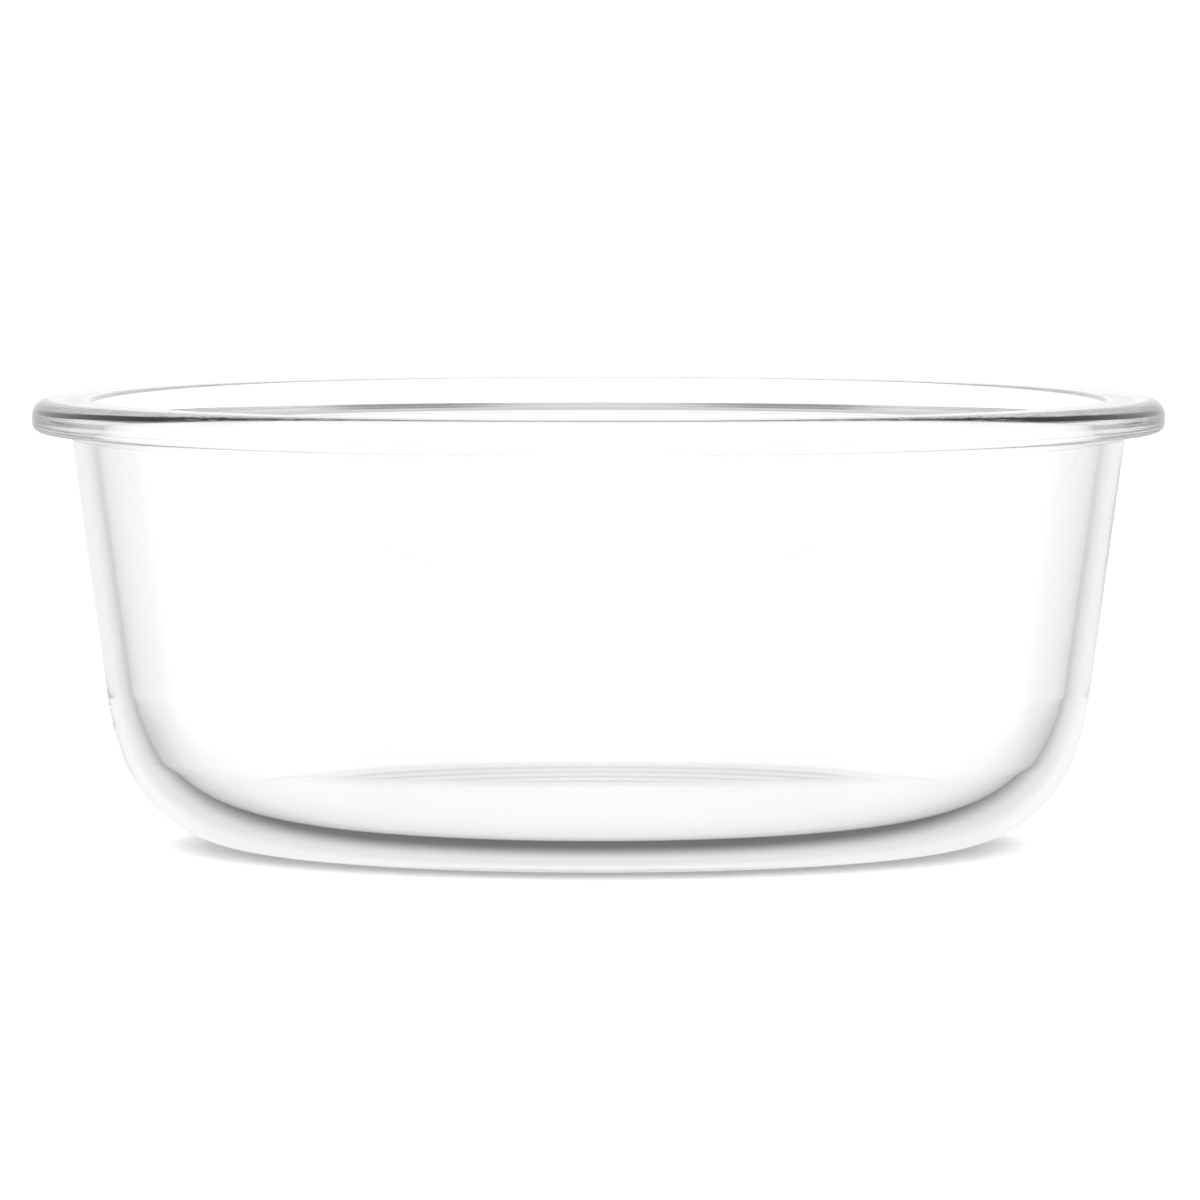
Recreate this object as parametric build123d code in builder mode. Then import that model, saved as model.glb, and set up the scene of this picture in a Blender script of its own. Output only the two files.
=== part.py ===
from build123d import *

import os
from math import radians, tan

# Round glass storage container: one pressed piece of clear glass, in millimetres.
#
# A shallow tapered bowl stands on a flat contact ring. Outside and inside, a heel and a gentler
# shoulder turn the base up into the wall, and the glass is thickest there. The wall thins slightly
# as it runs straight up to a solid flange that a press-on lid grips.
# +Z is up along the axis of revolution. The origin is the centre of the plane it stands on.

# Overall sizes.
height = 67.0
rim_radius = 85.0

# Outside of the bowl, from the base up. Slopes are measured from the vertical.
base_radius = 52.7
heel_radius = 20.0
shoulder_slope = 20.8
shoulder_radius = 42.0
draft = 7.7

# Inside of the bowl, from the floor up.
floor_thickness = 4.2
floor_radius = 51.6
inner_heel_radius = 17.5
inner_shoulder_slope = 22.9
inner_shoulder_radius = 35.0
inner_draft = 7.9

# Flange at the mouth.
rim_height = 5.0
rim_top_round = 2.5
rim_under_round = 1.4
lip_round = 1.5
neck_fillet = 1.4

# Very shallow dome pressed up under the base, which leaves a ring to stand on.
ring_width = 4.7
dome_rise = 0.4


def circle_at(edges, radius, z):
    """The circular edge that lies nearest to this radius and height."""
    circles = edges.filter_by(GeomType.CIRCLE)
    return circles.sort_by(lambda edge: abs(edge.radius - radius) + abs(edge.arc_center.Z - z))[0]


def make_glass_body():
    """The whole container: turned, hollowed, given its flange, rounded and domed below."""
    with BuildPart() as glass_body:
        # Solid bowl, from the half section of its outside.
        with BuildSketch(Plane.XZ):
            with BuildLine():
                base = Line((0, 0), (base_radius, 0))
                heel = JernArc(base @ 1, base % 1, heel_radius, 90 - shoulder_slope)
                shoulder = JernArc(heel @ 1, heel % 1, shoulder_radius, shoulder_slope - draft)
                wall_foot = shoulder @ 1
                mouth_radius = wall_foot.X + (height - wall_foot.Y) * tan(radians(draft))
                side = Line(wall_foot, (mouth_radius, height))
                mouth = Line(side @ 1, (0, height))
                Line(mouth @ 1, base @ 0)
            make_face()
        revolve(axis=Axis.Z)

        # Flange, as a disc across the bowl while that is still solid.
        rim_underside = height - rim_height
        with BuildSketch(Plane.XY.offset(rim_underside)):
            Circle(rim_radius)
        extrude(amount=rim_height)

        # Storage space, from the half section of the inside.
        with BuildSketch(Plane.XZ):
            with BuildLine():
                floor = Line((0, floor_thickness), (floor_radius, floor_thickness))
                turn = JernArc(floor @ 1, floor % 1, inner_heel_radius, 90 - inner_shoulder_slope)
                bend = JernArc(
                    turn @ 1, turn % 1, inner_shoulder_radius, inner_shoulder_slope - inner_draft
                )
                bend_top = bend @ 1
                lip_radius = bend_top.X + (height - bend_top.Y) * tan(radians(inner_draft))
                inside = Line(bend_top, (lip_radius, height))
                top = Line(inside @ 1, (0, height))
                Line(top @ 1, floor @ 0)
            make_face()
        revolve(axis=Axis.Z, mode=Mode.SUBTRACT)

        # Dome under the base, a cap of a very large sphere.
        dome_radius = base_radius - ring_width
        sphere_radius = (dome_radius**2 + dome_rise**2) / (2 * dome_rise)
        with BuildSketch(Plane.XZ):
            with BuildLine():
                dome = RadiusArc((0, dome_rise), (dome_radius, 0), sphere_radius)
                dome_base = Line(dome @ 1, (0, 0))
                Line(dome_base @ 1, dome @ 0)
            make_face()
        revolve(axis=Axis.Z, mode=Mode.SUBTRACT)

        # Roundings of the flange, its root on the wall, and the inner lip.
        neck_radius = mouth_radius - rim_height * tan(radians(draft))
        fillet(circle_at(glass_body.edges(), neck_radius, rim_underside), neck_fillet)
        fillet(circle_at(glass_body.edges(), rim_radius, rim_underside), rim_under_round)
        fillet(circle_at(glass_body.edges(), rim_radius, height), rim_top_round)
        fillet(circle_at(glass_body.edges(), lip_radius, height), lip_round)

    glass_body.part.label = "glass_body"
    return glass_body.part


os.makedirs("parts", exist_ok=True)
export_step(make_glass_body(), "parts/glass_body.step")
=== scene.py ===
"""A round storage container of clear pressed glass, on a pale studio stage."""

from math import atan2, cos, pi, radians, sin, tan

import bmesh
import bpy
from bpy.props import FloatProperty, FloatVectorProperty, IntProperty, PointerProperty
from bpy.types import NodeSocket, Operator, Panel, PropertyGroup
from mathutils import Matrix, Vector


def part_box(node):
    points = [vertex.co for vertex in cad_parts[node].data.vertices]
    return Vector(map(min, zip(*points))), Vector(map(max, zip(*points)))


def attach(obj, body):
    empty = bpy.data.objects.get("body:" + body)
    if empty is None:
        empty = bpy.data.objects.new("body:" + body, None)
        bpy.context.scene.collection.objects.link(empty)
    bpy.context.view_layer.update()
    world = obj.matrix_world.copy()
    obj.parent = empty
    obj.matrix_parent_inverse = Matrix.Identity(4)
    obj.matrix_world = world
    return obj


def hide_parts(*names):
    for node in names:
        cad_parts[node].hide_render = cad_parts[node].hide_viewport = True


bl_info = {
    "name": "Glass Storage Container",
    "version": (1, 0, 0),
    "blender": (4, 5, 0),
    "location": "View3D > Sidebar > Container",
    "description": "Turns a round container of pressed glass and sets its studio stage",
    "category": "Object",
}

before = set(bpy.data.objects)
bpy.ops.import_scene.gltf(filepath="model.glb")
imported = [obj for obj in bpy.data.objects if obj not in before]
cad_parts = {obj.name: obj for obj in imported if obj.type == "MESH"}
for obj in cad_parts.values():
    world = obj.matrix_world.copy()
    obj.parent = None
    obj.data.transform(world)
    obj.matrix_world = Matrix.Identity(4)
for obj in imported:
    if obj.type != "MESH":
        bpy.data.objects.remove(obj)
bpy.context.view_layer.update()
body_low, body_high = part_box("glass_body")

# Mesh: the edge left at each end of a straight run, and the fewest steps of an arc and of the dome.
END_EDGE = 0.0002
ARC_STEPS = 2
DOME_STEPS = 16
MERGE_DISTANCE = 1e-6

# Glass: the noise levels between which the fire polish turns hazy.
HAZE_FADE = (0.5, 0.75)

# Studio: the floor's outline, its gap below the standing plane, the sensor and the light's bounces.
FLOOR_SIDES = 128
FLOOR_GAP = 0.0002
SENSOR_WIDTH = 36.0
LIGHT_BOUNCES = 48

# Where each part of the studio fades: a wall in parts of its size, the others by elevation.
WALL_FADE = (0.78, 1.38)
HORIZON_FADE = (radians(-17.6), radians(0.6))
CEILING_FADE = (radians(12.0), radians(34.0))


class GlassBodyShape(PropertyGroup):
    """Sizes of the glass body. Slopes are measured from the vertical."""

    height: FloatProperty(
        name="Height", description="From the standing plane to the top of the rim",
        default=body_high.z - body_low.z, unit="LENGTH",
    )
    rim_radius: FloatProperty(
        name="Rim radius", description="Outer radius of the rim flange",
        default=(body_high.x - body_low.x) / 2, unit="LENGTH",
    )
    base_radius: FloatProperty(
        name="Base radius", description="Radius at which the flat base starts to turn up",
        default=0.0527, unit="LENGTH",
    )
    heel_radius: FloatProperty(
        name="Heel radius", description="Outer radius of the turn from floor to wall",
        default=0.020, unit="LENGTH",
    )
    shoulder_radius: FloatProperty(
        name="Shoulder radius", description="Outer radius of the gentler turn above the heel",
        default=0.042, unit="LENGTH",
    )
    shoulder_slope: FloatProperty(
        name="Shoulder slope", description="Slope where the heel meets the shoulder",
        default=radians(20.8), unit="ROTATION",
    )
    draft: FloatProperty(
        name="Draft", description="Slope of the straight wall",
        default=radians(7.7), unit="ROTATION",
    )
    floor_thickness: FloatProperty(
        name="Floor thickness", description="Height of the inner floor above the standing plane",
        default=0.0042, unit="LENGTH",
    )
    floor_radius: FloatProperty(
        name="Floor radius", description="Radius at which the inner floor starts to turn up",
        default=0.0516, unit="LENGTH",
    )
    inner_heel_radius: FloatProperty(
        name="Inner heel radius", description="Inner radius of the turn from floor to wall",
        default=0.0175, unit="LENGTH",
    )
    inner_shoulder_radius: FloatProperty(
        name="Inner shoulder radius", description="Inner radius of the gentler turn above the heel",
        default=0.035, unit="LENGTH",
    )
    inner_shoulder_slope: FloatProperty(
        name="Inner shoulder slope", description="Slope where the inner heel meets the shoulder",
        default=radians(22.9), unit="ROTATION",
    )
    inner_draft: FloatProperty(
        name="Inner draft", description="Slope of the inside of the wall",
        default=radians(7.9), unit="ROTATION",
    )
    rim_height: FloatProperty(
        name="Rim height", description="Thickness of the rim flange",
        default=0.005, unit="LENGTH",
    )
    rim_top_round: FloatProperty(
        name="Rim top rounding", description="Outer upper rounding of the flange",
        default=0.0025, unit="LENGTH",
    )
    rim_under_round: FloatProperty(
        name="Rim under rounding", description="Outer lower rounding of the flange",
        default=0.0014, unit="LENGTH",
    )
    lip_round: FloatProperty(
        name="Lip rounding", description="Inner upper rounding at the mouth",
        default=0.0015, unit="LENGTH",
    )
    neck_fillet: FloatProperty(
        name="Neck fillet", description="Fillet between the wall and the flange",
        default=0.0014, unit="LENGTH",
    )
    ring_width: FloatProperty(
        name="Standing ring width", description="Flat ring left round the dome under the base",
        default=0.0047, unit="LENGTH",
    )
    dome_rise: FloatProperty(
        name="Dome rise", description="Height of the very shallow dome pressed up under the base",
        default=0.0004, unit="LENGTH",
    )
    steps_round: IntProperty(
        name="Steps round", description="Facets round the axis", default=256, min=24,
    )
    arc_step: FloatProperty(
        name="Arc step", description="Largest turn between two points of the section",
        default=radians(3.0), unit="ROTATION",
    )


class GlassFinish(PropertyGroup):
    """Look of the glass."""

    tint: FloatVectorProperty(
        name="Tint", description="Colour of the light that the glass lets through",
        default=(1.0, 1.0, 1.0), subtype="COLOR", min=0.0, max=1.0,
    )
    ior: FloatProperty(
        name="Index of refraction", description="How strongly the glass bends light", default=1.5,
    )
    ripple_length: FloatProperty(
        name="Ripple length", description="Distance between the crests of the mould's ripples",
        default=0.028, unit="LENGTH",
    )
    ripple_height: FloatProperty(
        name="Ripple height", description="Height of the mould's ripples on the surface",
        default=0.00002, unit="LENGTH",
    )
    haze: FloatProperty(
        name="Haze", description="Roughness of the dullest patches of the fire polish",
        default=0.006, min=0.0, max=1.0,
    )


class StudioStage(PropertyGroup):
    """Floor, light and camera."""

    floor_colour: FloatVectorProperty(
        name="Floor colour", description="Colour of the plain floor",
        default=(0.9, 0.9, 0.9), subtype="COLOR", min=0.0, max=1.0,
    )
    floor_radius: FloatProperty(
        name="Floor radius", description="Radius of the plain floor", default=30.0, unit="LENGTH",
    )
    backdrop_light: FloatProperty(
        name="Backdrop light", description="Brightness of the plain backdrop", default=1.1,
    )
    room_light: FloatProperty(
        name="Room light", description="Strength of the soft white light that falls on the floor",
        default=2.6,
    )
    glass_light: FloatProperty(
        name="Glass light", description="Strength of the light seen straight through the glass",
        default=1.14,
    )
    wall_light: FloatProperty(
        name="Wall light", description="Strength of the four white walls in the glass's reflections",
        default=0.88,
    )
    ceiling_light: FloatProperty(
        name="Ceiling light", description="Strength of the grey ceiling in the glass's reflections",
        default=0.6,
    )
    ground_light: FloatProperty(
        name="Ground light", description="Strength of the dark ground in the glass's reflections",
        default=0.13,
    )
    wall_width: FloatProperty(
        name="Wall width", description="Turn from the middle of a white wall towards its side",
        default=radians(30.3), unit="ROTATION",
    )
    wall_depth: FloatProperty(
        name="Wall depth", description="Turn from the middle of a white wall down to its foot",
        default=radians(37.8), unit="ROTATION",
    )
    camera_elevation: FloatProperty(
        name="Camera elevation", description="Height of the camera above the horizon",
        default=radians(3.51), unit="ROTATION",
    )
    camera_distance: FloatProperty(
        name="Camera distance", description="From the camera to the point it looks at",
        default=1.585, unit="LENGTH",
    )
    camera_lens: FloatProperty(
        name="Focal length", description="Focal length of the lens, in millimetres", default=316.4,
    )
    camera_aim: FloatProperty(
        name="Camera aim", description="Height of the point that the camera looks at",
        default=0.03456, unit="LENGTH",
    )
    camera_shift: FloatVectorProperty(
        name="Camera shift", description="Shift of the view across and up, in parts of its width",
        default=(0.00125, 0.0107), size=2,
    )


class Pen:
    """Draws a section as a wire in the XZ plane, by straight runs and arcs from its last point."""

    def __init__(self, mesh, x, z, arc_step):
        self.mesh = mesh
        self.point = mesh.verts.new((x, 0.0, z))
        self.heading = 0.0
        self.arc_step = arc_step

    def step(self, length):
        """One straight edge along the heading."""
        made = bmesh.ops.extrude_vert_indiv(self.mesh, verts=[self.point])
        self.point = made["verts"][0]
        way = Vector((cos(self.heading), 0.0, sin(self.heading)))
        bmesh.ops.translate(self.mesh, verts=[self.point], vec=way * length)

    def run(self, length):
        """A straight run, with a short edge at each end that keeps its shading flat."""
        if length > 4 * END_EDGE:
            self.step(END_EDGE)
            self.step(length - 2 * END_EDGE)
            self.step(END_EDGE)
        else:
            self.step(length)

    def arc(self, radius, turn, fewest=ARC_STEPS):
        """An arc tangent to the heading. A positive turn goes to the left."""
        side = 1.0 if turn > 0 else -1.0
        to_centre = Vector((-sin(self.heading), 0.0, cos(self.heading))) * side * radius
        made = bmesh.ops.spin(
            self.mesh, geom=[self.point], cent=self.point.co + to_centre, axis=(0.0, -1.0, 0.0),
            angle=turn, steps=max(fewest, round(abs(turn) / self.arc_step)),
        )
        self.point = next(part for part in made["geom_last"] if isinstance(part, bmesh.types.BMVert))
        self.heading += turn


def draw_section(mesh, shape):
    """The closed half section, from the centre of the underside round to the centre of the floor."""
    wall_way = pi / 2 - shape.draft
    inner_way = pi / 2 - shape.inner_draft

    # Underside: a cap of a very large sphere, and the standing ring.
    dome_radius = shape.base_radius - shape.ring_width
    sphere_radius = (dome_radius ** 2 + shape.dome_rise ** 2) / (2 * shape.dome_rise)
    pen = Pen(mesh, 0.0, shape.dome_rise, shape.arc_step)
    pen.arc(sphere_radius, -2 * atan2(shape.dome_rise, dome_radius), fewest=DOME_STEPS)
    pen.heading = 0.0
    pen.run(shape.base_radius - pen.point.co.x)

    # Outside: heel, shoulder and wall up to the neck.
    pen.arc(shape.heel_radius, pi / 2 - shape.shoulder_slope)
    pen.arc(shape.shoulder_radius, shape.shoulder_slope - shape.draft)
    neck_tangent = shape.neck_fillet * tan(wall_way / 2)
    neck_rise = shape.height - shape.rim_height - pen.point.co.z
    pen.run(neck_rise / cos(shape.draft) - neck_tangent)

    # Rim flange up to its top.
    pen.arc(shape.neck_fillet, -wall_way)
    pen.run(shape.rim_radius - shape.rim_under_round - pen.point.co.x)
    pen.arc(shape.rim_under_round, pi / 2)
    pen.run(shape.rim_height - shape.rim_under_round - shape.rim_top_round)
    pen.arc(shape.rim_top_round, pi / 2)

    # Land on top of the rim, as far as the lip. The inner shoulder sets where the lip is.
    bend_foot_z = shape.floor_thickness + shape.inner_heel_radius * (1 - sin(shape.inner_shoulder_slope))
    bend_rise = sin(shape.inner_shoulder_slope) - sin(shape.inner_draft)
    bend_run = cos(shape.inner_draft) - cos(shape.inner_shoulder_slope)
    bend_top_z = bend_foot_z + shape.inner_shoulder_radius * bend_rise
    bend_top_radius = shape.floor_radius + shape.inner_heel_radius * cos(shape.inner_shoulder_slope)
    bend_top_radius += shape.inner_shoulder_radius * bend_run
    lip_radius = bend_top_radius + (shape.height - bend_top_z) * tan(shape.inner_draft)
    pen.run(pen.point.co.x - lip_radius - shape.lip_round * tan(inner_way / 2))

    # Inside: lip, wall, shoulder, heel and floor.
    pen.arc(shape.lip_round, inner_way)
    pen.run((pen.point.co.z - bend_top_z) / cos(shape.inner_draft))
    pen.arc(shape.inner_shoulder_radius, shape.inner_draft - shape.inner_shoulder_slope)
    pen.arc(shape.inner_heel_radius, shape.inner_shoulder_slope - pi / 2)
    pen.run(pen.point.co.x)


def turn_glass_body(shape):
    """The section spun once round the axis into a closed mesh."""
    mesh = bmesh.new()
    draw_section(mesh, shape)
    bmesh.ops.spin(
        mesh, geom=mesh.verts[:] + mesh.edges[:], cent=(0.0, 0.0, 0.0), axis=(0.0, 0.0, 1.0),
        angle=2 * pi, steps=shape.steps_round, use_merge=True,
    )
    bmesh.ops.remove_doubles(mesh, verts=mesh.verts[:], dist=MERGE_DISTANCE)
    bmesh.ops.recalc_face_normals(mesh, faces=mesh.faces[:])
    if not all(edge.is_manifold for edge in mesh.edges):
        raise RuntimeError("The glass body's section doesn't close")
    for face in mesh.faces:
        face.smooth = True
    data = bpy.data.meshes.new("glass_container")
    mesh.to_mesh(data)
    mesh.free()
    return data


def link_math(tree, operation, *values):
    """A Math node fed with sockets or plain numbers, and its output."""
    node = tree.nodes.new("ShaderNodeMath")
    node.operation = operation
    for socket, value in zip(node.inputs, values):
        if isinstance(value, NodeSocket):
            tree.links.new(value, socket)
        else:
            socket.default_value = value
    return node.outputs["Value"]


def link_choice(tree, switch, off, on):
    """The first level where the switch is 0, and the second where it is 1."""
    node = tree.nodes.new("ShaderNodeMix")
    tree.links.new(switch, node.inputs["Factor"])
    for name, level in (("A", off), ("B", on)):
        if isinstance(level, NodeSocket):
            tree.links.new(level, node.inputs[name])
        else:
            node.inputs[name].default_value = level
    return node.outputs["Result"]


def link_fade(tree, value, ends, start_level, end_level):
    """A smooth fade from one level to another, as the value passes between two ends."""
    node = tree.nodes.new("ShaderNodeMapRange")
    node.interpolation_type = "SMOOTHSTEP"
    tree.links.new(value, node.inputs["Value"])
    node.inputs["From Min"].default_value = ends[0]
    node.inputs["From Max"].default_value = ends[1]
    node.inputs["To Min"].default_value = start_level
    node.inputs["To Max"].default_value = end_level
    return node.outputs["Result"]


def link_noise(tree, length, detail):
    """Noise in the piece's own coordinates, with features of about this length."""
    place = tree.nodes.new("ShaderNodeTexCoord")
    noise = tree.nodes.new("ShaderNodeTexNoise")
    tree.links.new(place.outputs["Object"], noise.inputs["Vector"])
    noise.inputs["Scale"].default_value = 1 / length
    noise.inputs["Detail"].default_value = detail
    return noise.outputs["Fac"]


def clear_glass(finish):
    """Clear pressed glass: fire-polished, a little hazy in patches, and rippled by the mould."""
    material = bpy.data.materials.new("clear_glass")
    material.use_nodes = True
    tree = material.node_tree
    shader = tree.nodes["Principled BSDF"]
    shader.inputs["Base Color"].default_value = (*finish.tint, 1.0)
    shader.inputs["IOR"].default_value = finish.ior
    shader.inputs["Transmission Weight"].default_value = 1.0

    patches = link_noise(tree, finish.ripple_length / 2, detail=4.0)
    haze = link_fade(tree, patches, HAZE_FADE, 0.0, finish.haze)
    tree.links.new(haze, shader.inputs["Roughness"])

    ripples = tree.nodes.new("ShaderNodeBump")
    ripples.inputs["Strength"].default_value = 1.0
    ripples.inputs["Distance"].default_value = finish.ripple_height
    swell = link_noise(tree, finish.ripple_length, detail=1.0)
    tree.links.new(swell, ripples.inputs["Height"])
    tree.links.new(ripples.outputs["Normal"], shader.inputs["Normal"])
    return material


class CONTAINER_OT_glass_body(Operator):
    """Turn the glass body and put it in place of its plain solid"""

    bl_idname = "container.glass_body"
    bl_label = "Glass body"

    def execute(self, context):
        scene = context.scene
        piece = bpy.data.objects.new("glass_container", turn_glass_body(scene.container_shape))
        scene.collection.objects.link(piece)
        piece.data.materials.append(clear_glass(scene.container_finish))
        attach(piece, "root")
        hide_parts("glass_body")
        return {"FINISHED"}


def wall_glow(tree, axes, stage):
    """Four white walls between a grey ceiling and a dark ground, by where light comes from."""
    across = link_math(tree, "ABSOLUTE", axes["X"])
    along = link_math(tree, "ABSOLUTE", axes["Y"])
    ahead = link_math(tree, "MAXIMUM", across, along)
    aside = link_math(tree, "MINIMUM", across, along)
    turn = link_math(tree, "ARCTAN2", aside, ahead)
    elevation = link_math(tree, "ARCSINE", axes["Z"])
    drop = link_math(tree, "ADD", elevation, stage.camera_elevation)

    width = link_math(tree, "DIVIDE", turn, stage.wall_width)
    depth = link_math(tree, "DIVIDE", drop, stage.wall_depth)
    width_squared = link_math(tree, "MULTIPLY", width, width)
    reach_squared = link_math(tree, "MULTIPLY_ADD", depth, depth, width_squared)
    reach = link_math(tree, "SQRT", reach_squared)
    walls = link_fade(tree, reach, WALL_FADE, stage.wall_light, 0.0)
    horizon = link_fade(tree, elevation, HORIZON_FADE, 0.0, 1.0)
    ceiling = link_fade(tree, elevation, CEILING_FADE, 1.0, stage.ceiling_light)
    brightest = link_math(tree, "MAXIMUM", walls, horizon)
    glow = link_math(tree, "MULTIPLY", brightest, ceiling)
    return link_math(tree, "MULTIPLY_ADD", glow, 1 - stage.ground_light, stage.ground_light)


def studio_light(stage):
    """A plain white room for the floor, and white walls over a dark ground for the glass."""
    world = bpy.data.worlds.new("studio_light")
    world.use_nodes = True
    world.cycles.sampling_method = "NONE"
    tree = world.node_tree
    tree.nodes.clear()
    output = tree.nodes.new("ShaderNodeOutputWorld")
    light = tree.nodes.new("ShaderNodeBackground")
    light.inputs["Color"].default_value = (1.0, 1.0, 1.0, 1.0)
    tree.links.new(light.outputs["Background"], output.inputs["Surface"])
    place = tree.nodes.new("ShaderNodeTexCoord")
    axes = tree.nodes.new("ShaderNodeSeparateXYZ")
    tree.links.new(place.outputs["Generated"], axes.inputs["Vector"])
    path = tree.nodes.new("ShaderNodeLightPath")

    # Light that was reflected on its way shows the walls. Light straight through shows plain white.
    reflected = link_math(tree, "GREATER_THAN", path.outputs["Glossy Depth"], 0.5)
    walls = wall_glow(tree, axes.outputs, stage)
    in_glass = link_choice(tree, reflected, stage.glass_light, walls)
    around = link_choice(tree, path.outputs["Is Diffuse Ray"], in_glass, stage.room_light)
    strength = link_choice(tree, path.outputs["Is Camera Ray"], around, stage.backdrop_light)
    tree.links.new(strength, light.inputs["Strength"])
    return world


def studio_floor(stage):
    """A plain pale disc, just under the standing plane."""
    mesh = bmesh.new()
    bmesh.ops.create_circle(mesh, cap_ends=True, segments=FLOOR_SIDES, radius=stage.floor_radius)
    bmesh.ops.translate(mesh, verts=mesh.verts[:], vec=(0.0, 0.0, -FLOOR_GAP))
    data = bpy.data.meshes.new("studio_floor")
    mesh.to_mesh(data)
    mesh.free()
    material = bpy.data.materials.new("pale_floor")
    material.use_nodes = True
    shader = material.node_tree.nodes["Principled BSDF"]
    shader.inputs["Base Color"].default_value = (*stage.floor_colour, 1.0)
    shader.inputs["Roughness"].default_value = 0.9
    shader.inputs["Specular IOR Level"].default_value = 0.0
    data.materials.append(material)
    floor = bpy.data.objects.new("studio_floor", data)
    floor.visible_transmission = False
    floor.visible_glossy = False
    return floor


def studio_camera(stage):
    """A camera just above the horizon, with a long lens."""
    data = bpy.data.cameras.new("studio_camera")
    data.sensor_width = SENSOR_WIDTH
    data.lens = stage.camera_lens
    data.shift_x = stage.camera_shift[0]
    data.shift_y = stage.camera_shift[1]
    camera = bpy.data.objects.new("studio_camera", data)
    way_back = Vector((0.0, -cos(stage.camera_elevation), sin(stage.camera_elevation)))
    camera.location = Vector((0.0, 0.0, stage.camera_aim)) + stage.camera_distance * way_back
    camera.rotation_euler = (pi / 2 - stage.camera_elevation, 0.0, 0.0)
    return camera


class CONTAINER_OT_stage(Operator):
    """Lay the floor, light the studio and set the camera"""

    bl_idname = "container.stage"
    bl_label = "Studio stage"

    def execute(self, context):
        scene = context.scene
        stage = scene.container_stage

        floor = studio_floor(stage)
        scene.collection.objects.link(floor)

        scene.world = studio_light(stage)
        scene.camera = studio_camera(stage)
        scene.collection.objects.link(scene.camera)

        scene.view_settings.view_transform = "Standard"
        scene.cycles.max_bounces = LIGHT_BOUNCES
        scene.cycles.transmission_bounces = LIGHT_BOUNCES
        scene.cycles.glossy_bounces = LIGHT_BOUNCES
        return {"FINISHED"}


class CONTAINER_PT_sidebar(Panel):
    """Sizes, looks and steps of the container, in the 3D view's sidebar."""

    bl_label = "Glass storage container"
    bl_idname = "CONTAINER_PT_sidebar"
    bl_space_type = "VIEW_3D"
    bl_region_type = "UI"
    bl_category = "Container"

    def draw(self, context):
        scene = context.scene
        self.layout.operator("container.glass_body")
        self.layout.operator("container.stage")
        for group in (scene.container_shape, scene.container_finish, scene.container_stage):
            box = self.layout.box()
            for name in group.__annotations__:
                box.prop(group, name)


CLASSES = (
    GlassBodyShape, GlassFinish, StudioStage,
    CONTAINER_OT_glass_body, CONTAINER_OT_stage, CONTAINER_PT_sidebar,
)


def register():
    for cls in CLASSES:
        bpy.utils.register_class(cls)
    bpy.types.Scene.container_shape = PointerProperty(type=GlassBodyShape)
    bpy.types.Scene.container_finish = PointerProperty(type=GlassFinish)
    bpy.types.Scene.container_stage = PointerProperty(type=StudioStage)


def unregister():
    del bpy.types.Scene.container_stage
    del bpy.types.Scene.container_finish
    del bpy.types.Scene.container_shape
    for cls in reversed(CLASSES):
        bpy.utils.unregister_class(cls)


def main():
    register()
    bpy.ops.container.glass_body()
    bpy.ops.container.stage()


if __name__ == "__main__":
    main()
